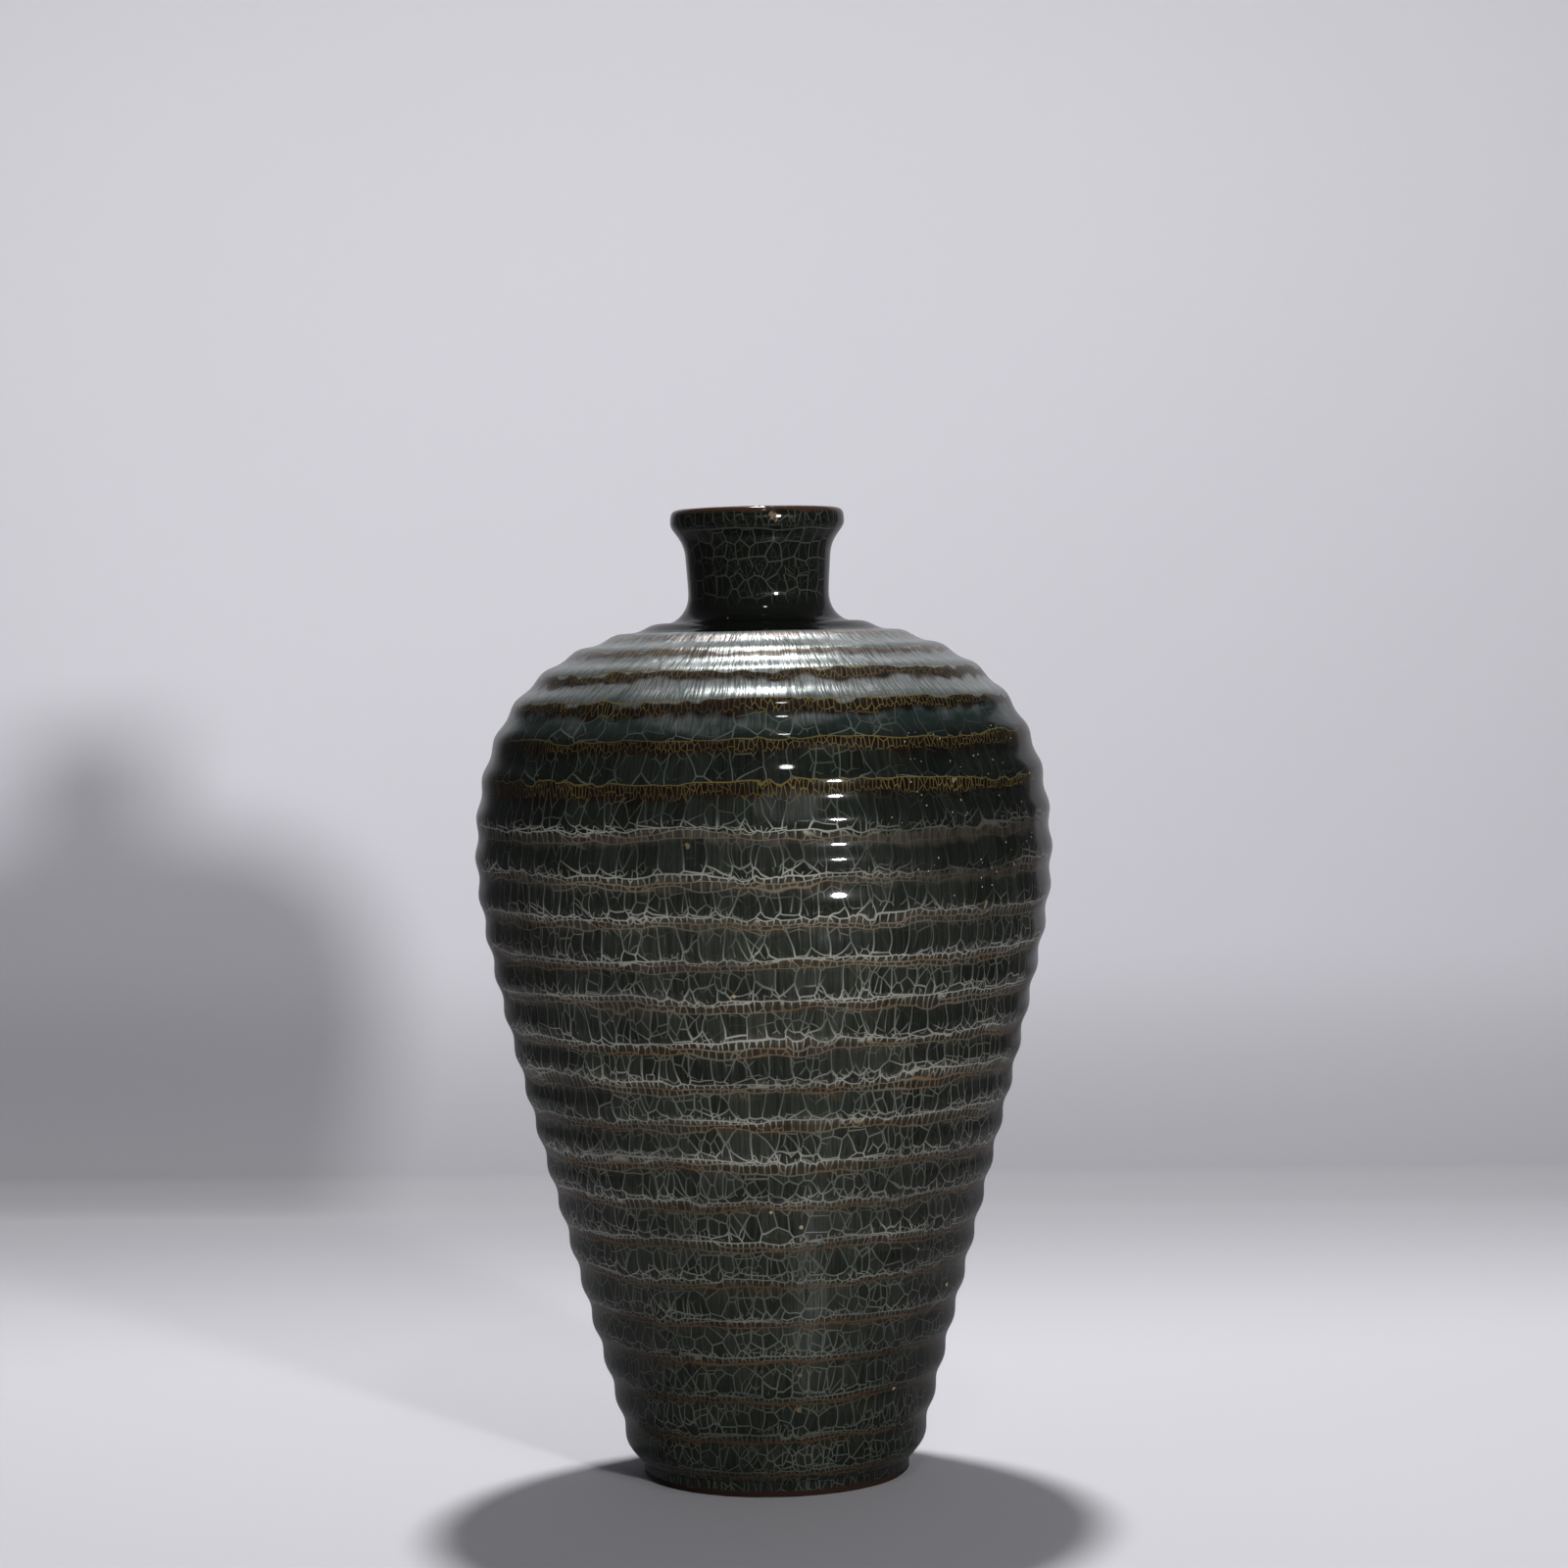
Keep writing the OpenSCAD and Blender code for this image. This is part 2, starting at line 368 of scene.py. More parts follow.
# A fade is written as its start, its end and, where they are not 0 and 1, what it gives at the two.
# Millimetres in a metre, and in millimetres the spacing of the ridges, half the width of a crack and of its soft
# edge, the painted reflection beside a crest, the height of the crack round the lip, and where the lip's glaze
# runs thin
MM = 1000.0
PITCH = 12.5
CRACK = 0.19
CRACK_EDGE = 0.13
CREST_REFLECTION_WIDE = (2.4, 0.2, 0.0, 0.30)
LIP_LINE = 293.0
LIP_THINS = (297.8, 298.9)
# Ridges up from the foot: where the bare clay ends, the haze and its painted reflection fade in and out, and the
# neck begins
BARE_END = (-0.38, -0.42)
HAZE_FOOT = (0.5, 5.5, 0.25, 1.0)
HAZE_TOP = (17.5, 13.5)
NECK_RIDGE = 22.75
NECK_EDGE = 0.12
NECK_CRACKS_START = (24.3, 24.9)
# Where the gold bands give way to pale ones, and how far below its crest each kind begins
GOLD_FOOT = (18.5, 16.5)
GOLD_BELOW_CREST = 0.05
PALE_BELOW_CREST = 0.21
# Rows, one to a ridge and counted down from the neck: how many have gold, and where a look starts or ends
GOLD_ROWS = 7.5
LAST_ROW = 25.0
VEIL_END = (1.8, 2.9, 0.35, 1.0)
BANDS_CLEAR = (1.8, 4.4, 0.20, 0.95)
BANDS_WIDEN = (2.8, 4.8, 0.68, 1.0)
BANDS_NARROW = (16.0, 22.0, 1.0, 0.70)
FILM_THINS = (4.95, 5.20, 1.0, 0.5)
FILM_END = (5.75, 4.65)
TEAL_END = (6.2, 4.9)
HIGH_UP = (6.4, 4.4)
CRESTS_BRIGHTEN = (7.4, 9.8, 0.68, 1.0)
CELLS_BRIGHTEN = (7.0, 10.0)
CELLS_DIM = (16.0, 22.0)
CELLS_SPLIT = (9.0, 21.0)
AMBER_START = (8.0, 11.0)
RUST_START = (14.0, 23.0)
BROWN_DEEPENS = (9.0, 13.0)
CREST_REFLECTION_START = (8.5, 11.0)
CREST_REFLECTION_END = (20.0, 15.0)
CRACKS_THIN = (13.0, 23.0, 1.0, 1.3)
CRESTS_DIM = (15.0, 23.0)
# Shares of the way down a row: the band of small cells, at most how much of it is the first string, which
# pinches out where the noise is low, and at least the second, the tips of the long cells, and the looks' fades
BAND = 0.29
FIRST_STRING = 0.17
FIRST_PINCH = 0.38
SECOND_STRING = 0.04
TIP_START = 0.87
LEAST_TIP = 0.02
FIRST_CRACK = (0.0, 0.03, 0.0, 0.95)
STRANDS = (0.42, 0.16, 0.25, 1.0)
TOWARD_CREST = (0.50, 0.97)
BROWN_START = (0.0, 0.06)
BROWN_END = (0.46, 0.26)
FILM_PARTS = (0.60, 1.0, 1.0, 0.68)
CREST_COLOR_START = (0.60, 0.97)
CREST_COLOR_END = (0.16, 0.05)
BAND_COLOR_END = (0.44, 0.22)
GOLD_CREST = 0.94
# Hundreds of long cells in a row, at shares of the way down, and how much finer the other cells are
CROWDING = ((0.0, 0.34), (0.16, 0.52), (0.34, 0.84), (0.6, 0.86), (1.0, 0.62))
GOLD_FINER = 5.2
FIRST_FINER = 2.9
SECOND_FINER = 2.6
SPLIT_FINER = 1.75
TIP_FINER = 2.7
# Cells that fit into the height of a row or of a string, and how unevenly they lie
LONG_CELLS = (0.72, 1.9)
SPLIT_CELLS = 2.6
GOLD_STRING = 1.3
SMALL_STRING = 0.5
TIP_STRING = 0.8
TIP_STRING_START = 0.1
LONG_UNEVEN = (0.65, 0.95)
SMALL_UNEVEN = 0.9
# How far the noise moves the lines, the cracks and the edges
SLOW_SWING = 0.45
QUICK_SWING = 0.14
CELL_BEND = 0.5
FINE_BEND = 0.8
BAND_SWING = 0.34
BROWN_SWING = 0.34
TIP_SWING = 0.36
FILM_SWING = 2.4
NECK_SWING = 0.4
LIP_LINE_SWING = 1.6
LIP_THIN_SWING = 2.0
QUIET_SWING = 0.8
CHIP_SWING = 5.0
BARE_SWING = 0.10
# Fades of the noise, which make patches
SWAG = (0.42, 0.60, 0.03, 0.20)
FINE_PATCHES = (0.40, 0.55, 0.08)
TIP_PATCHES = (0.42, 0.57, 0.0, 0.70)
STRAND_PATCHES = (0.32, 0.55, 0.55, 1.0)
FAINT_PATCHES = (0.36, 0.58, 0.55, 1.0)
HAZE_PATCHES = (0.30, 0.70, 0.07, 0.14)
CREST_REFLECTION_PATCHES = (0.35, 0.60, 0.3, 1.0)
GLARE_PATCHES = (0.30, 0.60, 0.4, 1.0)
AMBER_PATCHES = (0.47, 0.60, 0.0, 0.85)
FLECK_PATCHES = (0.50, 0.54)
FILM_STREAKS = (0.36, 0.62, 0.35, 1.0)
THREAD_SHADES = (0.30, 0.72, 0.70, 1.40)
CELL_SHADES = (0.0, 1.0, 0.80, 1.25)
# A line sags between two cracks of the row above: by the gap between them up to a most, taken at a height of
# their pattern that goes up from row to row
SWAG_SPAN = 0.6
SWAG_CUT = 0.925
SWAG_CUT_PER_ROW = 0.0125
# Widths of the cracks against CRACK, and what a gap is multiplied by where cracks are finer
FINE_CRACK = 0.8
CREST_LINE = 1.05
NECK_FINE_CRACK = 0.7
CREST_LINE_GOLD = 1.3
GOLD_CRACK_GAP = 1.7
# How strong the cracks are, the pairs above and below the rows where the cells brighten
FINE_MOST = (0.60, 0.85)
LONG_LEAST = (0.65, 0.88)
GOLD_LADDER = 0.9
SECOND_LINE = 0.70
NECK_FINE = 0.35
# The neck has plain cells and the lip narrow ones: how many stand in the round, and their height
NECK_CELLS = 30.0
NECK_CELL_TALL = 5.0
LIP_CELLS = 52.0
LIP_CELL_TALL = 16.0
NECK_SEAM = 0.25
# A quiet patch at the right, in turns round and ridges up, and beside it a flank darkened by painted shade
QUIET_TURN = 0.379
QUIET_RIDGE = 16.7
QUIET_WIDE = 0.075
QUIET_TALL = 2.4
QUIET_EDGE = (0.5, 1.3, 0.30, 1.0)
SHADED_FLANK_TURN = 0.43
SHADED_FLANK_WIDE = (0.04, 0.16)
SHADED_FLANK_GOLD_WIDE = (0.02, 0.12)
SHADED_FLANK_CRACK = 0.50
SHADED_FLANK_BODY = 0.52
SHADED_FLANK_GOLD = 0.62
# Colours of the glaze between the cracks, and of the painted reflections laid over it
GREEN = (0.0098, 0.0120, 0.0092, 1)
TEAL = (0.0150, 0.0260, 0.0250, 1)
HAZE_AND_REFLECTION = (0.100, 0.104, 0.087, 1)
CREST_REFLECTION = (0.105, 0.096, 0.080, 1)
BROWN = (0.0360, 0.0310, 0.0240, 1)
DEEP_BROWN = (0.0225, 0.0165, 0.0110, 1)
DARK_BROWN = (0.0090, 0.0060, 0.0042, 1)
FILM = (0.270, 0.287, 0.284, 1)
FILMED_BAND = (0.330, 0.290, 0.285, 1)
NECK_GREEN = (0.0055, 0.0065, 0.0050, 1)
RUST_EDGE = (0.037, 0.0195, 0.0110, 1)
BARE_CLAY = (0.028, 0.016, 0.012, 1)
# Colours of the cracks
PALE_CRACK = (0.350, 0.350, 0.305, 1)
GREEN_CRACK = (0.086, 0.103, 0.084, 1)
CELL_CRACK = (0.140, 0.148, 0.124, 1)
LOW_CRACK = (0.095, 0.105, 0.082, 1)
TAN_CRACK = (0.185, 0.158, 0.115, 1)
AMBER_CRACK = (0.175, 0.108, 0.048, 1)
RUST_CRACK = (0.085, 0.054, 0.028, 1)
GOLD_CRACK = (0.130, 0.095, 0.028, 1)
NECK_CRACK = (0.040, 0.043, 0.035, 1)
# Specks all over and flecks in the quiet patch. Their cells are in millimetres, and their sizes in cells
SPECK = (0.300, 0.235, 0.150, 1)
SPECK_CELL = 9.0
SPECK_RARE = 0.90
SPECK_RARE_QUIET = 0.35
SPECK_LEAST = 0.03
SPECK_MORE = 0.05
FLECK = (0.340, 0.345, 0.320, 1)
FLECK_CELL = 1.5
FLECK_SIZE = 0.17
FLECK_RARE = 0.70
FLECK_QUIET = (0.62, 0.40, 0.0, 0.8)
# Small chips: turn, ridge, half width in millimetres, half height in ridges
CHIP = (0.135, 0.100, 0.060, 1)
CHIP_EDGE = (1.2, 0.7)
CHIPS = (
    (0.281, 26.62, 1.6, 0.12),
    (0.272, 1.88, 0.9, 0.07),
    (0.272, 2.80, 0.7, 0.05),
    (0.209, 15.95, 1.0, 0.07),
    (0.361, 17.30, 0.9, 0.07),
    (0.382, 14.30, 0.6, 0.12),
)
# Painted glare: milky patches painted round and below the front lamp's glints, a soft reflection of it: the same,
# and how dense each is
PAINTED_GLARE = (0.200, 0.205, 0.195, 1)
GLARE_EDGE = (1.0, 0.1)
PAINTED_GLARES = ((0.279, 5.0, 7.5, 3.8, 0.10), (0.264, 16.85, 13.0, 0.5, 0.12), (0.285, 13.7, 5.0, 0.4, 0.12))
# Finish, from the bare glaze to the thickest film
GLOSS = (0.1, 0.7, 0.55, 0.45)
ROUGHNESS = (0.0, 0.8, 0.25, 0.33)
NECK_ROUGHNESS = 0.14
FILM_METAL = 0.55
RELIEF = 0.015
FILM_RELIEF = 0.10


def new_group(name, inputs, outputs):
    """A node group with its named sockets, and the inside ends of them."""
    group = bpy.data.node_groups.new(name, "ShaderNodeTree")
    for title in inputs:
        group.interface.new_socket(title, in_out="INPUT", socket_type="NodeSocketFloat")
    for title in outputs:
        kind = "NodeSocketVector" if title.startswith("Place") else "NodeSocketFloat"
        group.interface.new_socket(title, in_out="OUTPUT", socket_type=kind)
    given = group.nodes.new("NodeGroupInput").outputs
    result = group.nodes.new("NodeGroupOutput").inputs
    return group, given, result


def placed(tree, group, **inputs):
    """Places a node group in a material, with its inputs, and gives its outputs."""
    return add_node(tree, "ShaderNodeGroup", inputs, node_tree=group).outputs


def noise(tree, vector, across, along, detail=0.0):
    """Soft noise about a half, with blobs so many units across and so many ridges along the wall."""
    sizes = (1 / across, 1 / across, 1 / along)
    sized = add_node(tree, "ShaderNodeVectorMath", {0: vector, 1: sizes}, operation="MULTIPLY")
    values = {"Vector": sized.outputs[0], "Scale": 1.0, "Detail": detail}
    return add_node(tree, "ShaderNodeTexNoise", values).outputs[0]


def swing(tree, value, noise_value, reach):
    """The value moved either way by the noise, by about a quarter of the reach."""
    offset = maths(tree, "MULTIPLY_ADD", noise_value, reach, -reach / 2)
    return maths(tree, "ADD", value, offset)


def times(tree, *values):
    """The product of several numbers."""
    product = values[0]
    for value in values[1:]:
        product = maths(tree, "MULTIPLY", product, value)
    return product


def most(tree, *values):
    """The greatest of several numbers."""
    greatest = values[0]
    for value in values[1:]:
        greatest = maths(tree, "MAXIMUM", greatest, value)
    return greatest


def chosen(tree, share, first, second):
    """One number going over to another as the share goes from 0 to 1."""
    return add_node(tree, "ShaderNodeMix", {0: share, 2: first, 3: second}, data_type="FLOAT").outputs[0]


def mixed(tree, share, first, second):
    """One colour going over to another as the share goes from 0 to 1."""
    return add_node(tree, "ShaderNodeMix", {0: share, 6: first, 7: second}, data_type="RGBA").outputs[2]


def line(tree, gap, half=CRACK):
    """A crack where the gap to its middle, in millimetres, is under half its width."""
    return fade(tree, gap, half + CRACK_EDGE, half - CRACK_EDGE)


# Where a point lies: turns round the axis, girth of the wall in millimetres, ridges up from the foot, height,
# and two places for noise that count ridges upwards, one with millimetres across and one with the bare angle
wall_place, given, result = new_group(
    "wall_place", (), ("Turn", "Girth", "Ridge", "Height", "Place", "Place Round")
)
tree = wall_place
spot = add_node(tree, "ShaderNodeSeparateXYZ", {0: add_node(tree, "ShaderNodeTexCoord").outputs["Object"]}).outputs
x = maths(tree, "MULTIPLY", spot["X"], MM)
y = maths(tree, "MULTIPLY", spot["Y"], MM)
radius = maths(tree, "SQRT", maths(tree, "ADD", maths(tree, "MULTIPLY", x, x), maths(tree, "MULTIPLY", y, y)))
angle = maths(tree, "ARCTAN2", y, x)
up = add_node(tree, "ShaderNodeAttribute", attribute_name="ridge").outputs["Fac"]
across = add_node(tree, "ShaderNodeCombineXYZ", {0: x, 1: y, 2: up})
bare_x = maths(tree, "DIVIDE", x, radius)
bare_y = maths(tree, "DIVIDE", y, radius)
round_axis = add_node(tree, "ShaderNodeCombineXYZ", {0: bare_x, 1: bare_y, 2: up})
tree.links.new(maths(tree, "MULTIPLY_ADD", angle, 0.5 / math.pi, 0.5), result["Turn"])
tree.links.new(maths(tree, "MULTIPLY", radius, 2 * math.pi), result["Girth"])
tree.links.new(up, result["Ridge"])
tree.links.new(maths(tree, "MULTIPLY", spot["Z"], MM), result["Height"])
tree.links.new(across.outputs[0], result["Place"])
tree.links.new(round_axis.outputs[0], result["Place Round"])

# Cells along a row. Each row has its own number of cells and starts at its own place, and its two ends meet
# at a crack like the others
FINER_SEED = 31.7
ROW_SHIFT = 997.0

row_cells, given, result = new_group("row_cells", ("Turn", "Row", "Finer"), ("Across", "Ends", "Count"))
tree = row_cells
key = maths(tree, "MULTIPLY_ADD", given["Finer"], FINER_SEED, given["Row"])
chance = add_node(tree, "ShaderNodeTexWhiteNoise", {"W": key}, noise_dimensions="1D").outputs["Value"]
turned = maths(tree, "FRACT", maths(tree, "ADD", given["Turn"], chance))
crowd = add_node(tree, "ShaderNodeFloatCurve", {"Value": maths(tree, "DIVIDE", given["Row"], LAST_ROW)})
curve = crowd.mapping.curves[0]
for share, hundreds in CROWDING[1:-1]:
    curve.points.new(share, hundreds)
curve.points[0].location = CROWDING[0]
curve.points[-1].location = CROWDING[-1]
crowd.mapping.update()
count = times(tree, crowd.outputs[0], 100.0, given["Finer"])
across = maths(tree, "MULTIPLY_ADD", turned, count, maths(tree, "MULTIPLY", chance, ROW_SHIFT))
tree.links.new(across, result["Across"])
tree.links.new(maths(tree, "MINIMUM", turned, maths(tree, "SUBTRACT", 1.0, turned)), result["Ends"])
tree.links.new(count, result["Count"])

# Distance in millimetres to the nearest crack between cells. A cell is about one unit each way in the
# pattern, and Width by Height millimetres on the wall. Span is the same distance in units.
crack_gap, given, result = new_group(
    "crack_gap", ("Across", "Up", "Width", "Height", "Uneven"), ("Gap", "Span", "Chance")
)
tree = crack_gap
spot = add_node(tree, "ShaderNodeCombineXYZ", {0: given["Across"], 1: given["Up"]}).outputs[0]
values = {"Vector": spot, "Scale": 1.0, "Randomness": given["Uneven"]}
own = add_node(tree, "ShaderNodeTexVoronoi", values, voronoi_dimensions="2D", feature="F1").outputs
other = add_node(tree, "ShaderNodeTexVoronoi", values, voronoi_dimensions="2D", feature="F2").outputs
apart = {0: other["Position"], 1: own["Position"]}
apart = add_node(tree, "ShaderNodeVectorMath", apart, operation="SUBTRACT").outputs[0]
sizes = add_node(tree, "ShaderNodeCombineXYZ", {0: given["Width"], 1: given["Height"], 2: 1.0}).outputs[0]
slope = add_node(tree, "ShaderNodeVectorMath", {0: apart, 1: sizes}, operation="DIVIDE").outputs[0]
steep = add_node(tree, "ShaderNodeVectorMath", {0: slope}, operation="LENGTH").outputs["Value"]
far = maths(tree, "MULTIPLY", other["Distance"], other["Distance"])
near = maths(tree, "MULTIPLY", own["Distance"], own["Distance"])
gap = maths(tree, "DIVIDE", maths(tree, "SUBTRACT", far, near), maths(tree, "MAXIMUM", steep, TOUCH))
tree.links.new(maths(tree, "MULTIPLY", gap, 0.5), result["Gap"])
tree.links.new(maths(tree, "SUBTRACT", other["Distance"], own["Distance"]), result["Span"])
tree.links.new(add_node(tree, "ShaderNodeSeparateColor", {0: own["Color"]}).outputs[0], result["Chance"])

glaze = bpy.data.materials.new("crackle_glaze")
glaze.use_nodes = True
tree = glaze.node_tree
at = placed(tree, wall_place)
turn, girth, ridge_up, height = at["Turn"], at["Girth"], at["Ridge"], at["Height"]
place, place_round = at["Place"], at["Place Round"]
on_neck = maths(tree, "GREATER_THAN", ridge_up, NECK_RIDGE)

# Rows are counted down from the neck. The lines between them wander, and hang in swags between the cracks of
# the row above
slow = noise(tree, place, across=50.0, along=0.9, detail=1.0)
quick = noise(tree, place, across=10.0, along=0.8)
bend = noise(tree, place, across=9.0, along=0.7)
below_crest = fade(tree, ridge_up, *GOLD_FOOT, GOLD_BELOW_CREST, PALE_BELOW_CREST)
level = maths(tree, "SUBTRACT", RIDGES + 0.5, maths(tree, "ADD", ridge_up, below_crest))
level = swing(tree, swing(tree, level, slow, SLOW_SWING), quick, QUICK_SWING)
nearest = maths(tree, "FLOOR", maths(tree, "ADD", level, 0.5))
row_above = maths(tree, "SUBTRACT", nearest, 1.0)
cells_above = placed(tree, row_cells, Turn=turn, Row=row_above, Finer=1.0)
span_above = placed(
    tree,
    crack_gap,
    Across=swing(tree, cells_above["Across"], bend, CELL_BEND),
    Up=maths(tree, "MULTIPLY_ADD", row_above, SWAG_CUT_PER_ROW, SWAG_CUT),
    Width=1.0,
    Height=1.0,
    Uneven=SMALL_UNEVEN,
)["Span"]
from_line = times(tree, maths(tree, "SUBTRACT", level, nearest), math.pi)
near_line = maths(tree, "COSINE", from_line)
swag_here = fade(tree, noise(tree, place, across=22.0, along=0.6), *SWAG)
swag = times(tree, maths(tree, "MINIMUM", span_above, SWAG_SPAN), swag_here, near_line, near_line)
level = maths(tree, "SUBTRACT", level, swag)
row = maths(tree, "FLOOR", level)
part = maths(tree, "FRACT", level)

# A row holds two strings of small cells, of which the first may pinch out, and then one of long cells
is_gold = maths(tree, "LESS_THAN", row, GOLD_ROWS)
gold_below = maths(tree, "LESS_THAN", row, GOLD_ROWS - 1)
pinch = maths(tree, "SUBTRACT", noise(tree, place, across=28.0, along=0.5, detail=1.0), FIRST_PINCH)
first_end = maths(tree, "MINIMUM", maths(tree, "MAXIMUM", pinch, 0.0), FIRST_STRING)
first_end = times(tree, first_end, maths(tree, "SUBTRACT", 1.0, is_gold))
band_tall = times(tree, fade(tree, level, *BANDS_WIDEN), fade(tree, level, *BANDS_NARROW))
second_end = swing(tree, BAND, noise(tree, place, across=15.0, along=0.7, detail=1.0), BAND_SWING)
second_end = times(tree, second_end, band_tall)
second_end = maths(tree, "MAXIMUM", second_end, maths(tree, "ADD", first_end, SECOND_STRING))
in_first = maths(tree, "LESS_THAN", part, first_end)
in_long = maths(tree, "GREATER_THAN", part, second_end)
zone_top = chosen(tree, in_long, chosen(tree, in_first, first_end, 0.0), second_end)
zone_foot = chosen(tree, in_long, chosen(tree, in_first, second_end, first_end), 1.0)
zone_tall = maths(tree, "SUBTRACT", zone_foot, zone_top)
zone_part = maths(tree, "DIVIDE", maths(tree, "SUBTRACT", part, zone_top), zone_tall)
gold_band = times(tree, is_gold, maths(tree, "SUBTRACT", 1.0, in_long))
tall = chosen(tree, gold_band, SMALL_STRING, GOLD_STRING)
tall = chosen(tree, in_long, tall, fade(tree, row, *CELLS_SPLIT, *LONG_CELLS))
small = chosen(tree, in_first, chosen(tree, is_gold, SECOND_FINER, GOLD_FINER), FIRST_FINER)
cells = placed(tree, row_cells, Turn=turn, Row=row, Finer=chosen(tree, in_long, small, 1.0))
cell_across = swing(tree, cells["Across"], bend, CELL_BEND)
cell_up = maths(tree, "MULTIPLY_ADD", maths(tree, "SUBTRACT", zone_part, 0.5), tall, 0.5)
cell_wide = maths(tree, "DIVIDE", girth, cells["Count"])
cell_tall = maths(tree, "DIVIDE", times(tree, zone_tall, PITCH), tall)

# The neck has plain cells as tall as wide, and the lip narrow ones that stand on a crack of its own
neck_turn = maths(tree, "FRACT", maths(tree, "ADD", turn, NECK_SEAM))
lip_line = swing(tree, LIP_LINE, quick, LIP_LINE_SWING)
on_lip = maths(tree, "GREATER_THAN", height, lip_line)
neck_count = chosen(tree, on_lip, NECK_CELLS, LIP_CELLS)
neck_tall = chosen(tree, on_lip, NECK_CELL_TALL, LIP_CELL_TALL)
neck_up = maths(tree, "DIVIDE", times(tree, ridge_up, PITCH), neck_tall)
neck_across = swing(tree, times(tree, neck_turn, neck_count), bend, FINE_BEND)
neck_ends = maths(tree, "MINIMUM", neck_turn, maths(tree, "SUBTRACT", 1.0, neck_turn))
crackle = placed(
    tree,
    crack_gap,
    Across=chosen(tree, on_neck, cell_across, neck_across),
    Up=chosen(tree, on_neck, cell_up, neck_up),
    Width=chosen(tree, on_neck, cell_wide, maths(tree, "DIVIDE", girth, neck_count)),
    Height=chosen(tree, on_neck, cell_tall, neck_tall),
    Uneven=chosen(tree, in_long, SMALL_UNEVEN, fade(tree, row, *CELLS_SPLIT, *LONG_UNEVEN)),
)
ends = times(tree, chosen(tree, on_neck, cells["Ends"], neck_ends), girth)
thinning = chosen(tree, gold_band, fade(tree, row, *CRACKS_THIN), GOLD_CRACK_GAP)
upright = line(tree, times(tree, maths(tree, "MINIMUM", crackle["Gap"], ends), thinning))

# Finer cracks split the long cells, in patches, and smaller ones yet stand on the line below them
tip_start = swing(tree, TIP_START, noise(tree, place, across=6.0, along=0.5), TIP_SWING)
on_tip = maths(tree, "GREATER_THAN", part, tip_start)
tip_tall = maths(tree, "MAXIMUM", maths(tree, "SUBTRACT", 1.0, tip_start), LEAST_TIP)
tip_up = maths(tree, "DIVIDE", maths(tree, "SUBTRACT", part, tip_start), tip_tall)
tip_up = maths(tree, "MULTIPLY_ADD", tip_up, TIP_STRING, TIP_STRING_START)
fine_cells = placed(tree, row_cells, Turn=turn, Row=row, Finer=chosen(tree, on_tip, SPLIT_FINER, TIP_FINER))
fine = placed(
    tree,
    crack_gap,
    Across=swing(tree, fine_cells["Across"], bend, FINE_BEND),
    Up=chosen(tree, on_tip, times(tree, part, SPLIT_CELLS), tip_up),
    Width=maths(tree, "DIVIDE", girth, fine_cells["Count"]),
    Height=chosen(tree, on_tip, PITCH / SPLIT_CELLS, times(tree, tip_tall, PITCH / TIP_STRING)),
    Uneven=1.0,
)
fine_most = fade(tree, row, *CELLS_BRIGHTEN, *FINE_MOST)
fine_here = fade(tree, noise(tree, place, across=12.0, along=0.6), *FINE_PATCHES, fine_most)
tip_here = fade(tree, noise(tree, place, across=14.0, along=0.5), *TIP_PATCHES)
fine_here = chosen(tree, on_tip, fine_here, times(tree, tip_here, maths(tree, "SUBTRACT", 1.0, gold_below)))
fine_crack = times(tree, line(tree, fine["Gap"], CRACK * FINE_CRACK), fine_here, in_long)

# Cracks that run along the row: on the crest, between the two strings of small cells, and below them
crest_gap = times(tree, maths(tree, "MINIMUM", part, maths(tree, "SUBTRACT", 1.0, part)), PITCH)
first_gap = times(tree, maths(tree, "ABSOLUTE", maths(tree, "SUBTRACT", part, first_end)), PITCH)
second_gap = times(tree, maths(tree, "ABSOLUTE", maths(tree, "SUBTRACT", part, second_end)), PITCH)
nearer_gold = chosen(tree, maths(tree, "GREATER_THAN", part, 0.5), is_gold, gold_below)
crest_crack = times(tree, crest_gap, chosen(tree, nearer_gold, 1.0, CREST_LINE_GOLD))
crest_crack = line(tree, crest_crack, CRACK * CREST_LINE)
first_crack = times(tree, line(tree, first_gap), fade(tree, first_end, *FIRST_CRACK))
second_crack = times(tree, line(tree, second_gap), chosen(tree, is_gold, SECOND_LINE, 0.0))
toward_crest = fade(tree, part, *TOWARD_CREST, fade(tree, row, *CELLS_BRIGHTEN, *LONG_LEAST), 1.0)
strands = times(tree, fade(tree, part, *STRANDS), fade(tree, bend, *STRAND_PATCHES))
ladder = chosen(tree, gold_band, GOLD_LADDER, strands)
upright_crack = times(tree, upright, chosen(tree, in_long, ladder, toward_crest))
crack = most(tree, upright_crack, fine_crack, crest_crack, first_crack, second_crack)

# They are fainter in patches, in the quiet patch, on the right flank under painted shade, and under the film
faint = fade(tree, noise(tree, place, across=35.0, along=2.0, detail=1.0), *FAINT_PATCHES)
aside = maths(tree, "DIVIDE", maths(tree, "SUBTRACT", turn, QUIET_TURN), QUIET_WIDE)
above = maths(tree, "DIVIDE", maths(tree, "SUBTRACT", ridge_up, QUIET_RIDGE), QUIET_TALL)
from_quiet = maths(tree, "ADD", times(tree, aside, aside), times(tree, above, above))
quiet = fade(tree, swing(tree, from_quiet, quick, QUIET_SWING), *QUIET_EDGE)
from_shaded_flank = maths(tree, "ABSOLUTE", maths(tree, "SUBTRACT", turn, SHADED_FLANK_TURN))
flank_shade = fade(tree, from_shaded_flank, *SHADED_FLANK_WIDE, SHADED_FLANK_CRACK, 1.0)
near_gold = times(tree, gold_below, maths(tree, "GREATER_THAN", part, GOLD_CREST))
